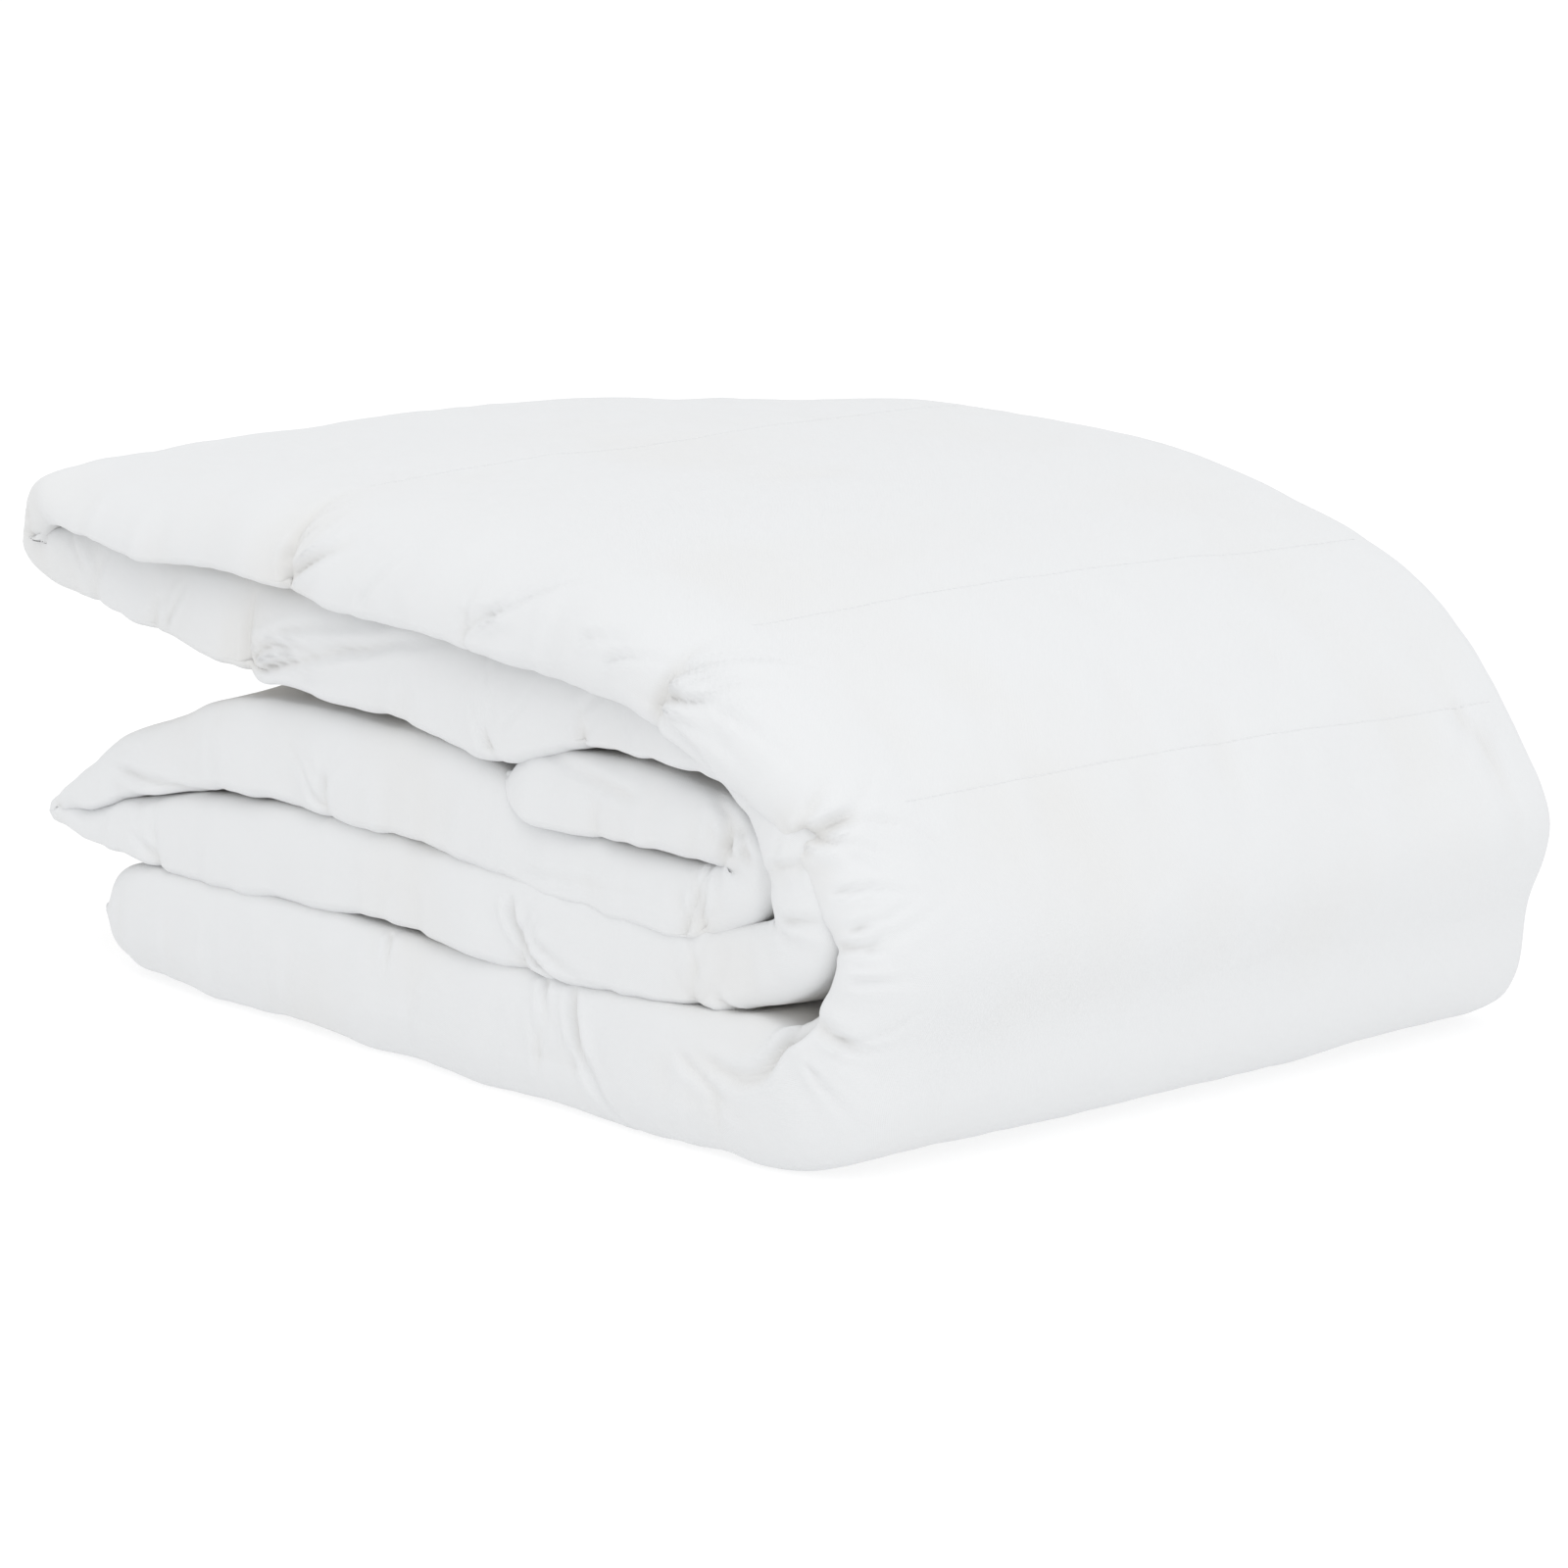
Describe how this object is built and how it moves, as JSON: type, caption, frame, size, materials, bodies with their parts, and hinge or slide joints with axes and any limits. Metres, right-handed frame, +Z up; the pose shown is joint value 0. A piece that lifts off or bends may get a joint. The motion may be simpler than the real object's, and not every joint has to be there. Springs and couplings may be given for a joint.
{
  "type": "folded duvet",
  "caption": "White cotton duvet folded into a soft stacked pack, with quilted chambers, piped hems and a book-like half fold.",
  "frame": {"origin": "on the surface it rests on, under the middle of the folded pack", "axes": "+X along the folded strip, towards the rounded half fold; +Y across the duvet, towards its piped hems; +Z up"},
  "size_m": [0.4499, 0.35, 0.191],
  "materials": {
    "cover_face": "matte cotton cambric",
    "cover_back": "matte cotton cambric",
    "filling": "lofty fibre",
    "baffle_tape": "light woven tape",
    "piped_hem": "matte piped cotton",
    "label_tape": "satin woven tape, blank"
  },
  "bodies": {
    "lower_half": {"back_panel_bottom": "cover_back", "back_panel_core": "cover_back", "back_panel_inner_fold": "cover_back", "back_panel_outer_fold": "cover_back", "cross_baffles_bottom": "baffle_tape", "cross_baffles_core": "baffle_tape", "end_hem_bottom": "piped_hem", "end_hem_core": "piped_hem", "face_panel_bottom": "cover_face", "face_panel_core": "cover_face", "face_panel_inner_fold": "cover_face", "face_panel_outer_fold": "cover_face", "fill_bottom_1": "filling", "fill_bottom_2": "filling", "fill_core_1": "filling", "fill_core_2": "filling", "fill_core_3": "filling", "fill_core_4": "filling", "fill_inner_fold": "filling", "fill_outer_fold": "filling", "lengthwise_baffles_bottom": "baffle_tape", "lengthwise_baffles_core": "baffle_tape", "lengthwise_baffles_inner_fold": "baffle_tape", "lengthwise_baffles_outer_fold": "baffle_tape", "piping_bottom": "piped_hem", "piping_core": "piped_hem", "piping_inner_fold": "piped_hem", "piping_outer_fold": "piped_hem"},
    "upper_half": {"back_panel_top": "cover_back", "cross_baffles_top": "baffle_tape", "face_panel_top": "cover_face", "fill_top_1": "filling", "fill_top_2": "filling", "fill_top_3": "filling", "fill_top_4": "filling", "lengthwise_baffles_top": "baffle_tape", "piping_top": "piped_hem"},
    "care_label": {"care_label": "label_tape"}
  },
  "joints": [
    {"name": "half_fold", "type": "hinge", "parent": "lower_half", "child": "upper_half", "pos_m": [0.1295, 0, 0.0955], "axis": [0, 1, 0], "range_deg": [0, 40], "deforming": ["back_panel_inner_fold", "back_panel_outer_fold", "face_panel_inner_fold", "face_panel_outer_fold", "fill_inner_fold", "fill_outer_fold", "lengthwise_baffles_inner_fold", "lengthwise_baffles_outer_fold", "piping_inner_fold", "piping_outer_fold"]},
    {"name": "label_hang", "type": "hinge", "parent": "upper_half", "child": "care_label", "pos_m": [0.077, 0.1748, 0.16376], "axis": [1, 0, 0], "range_deg": [0, 170]}
  ]
}
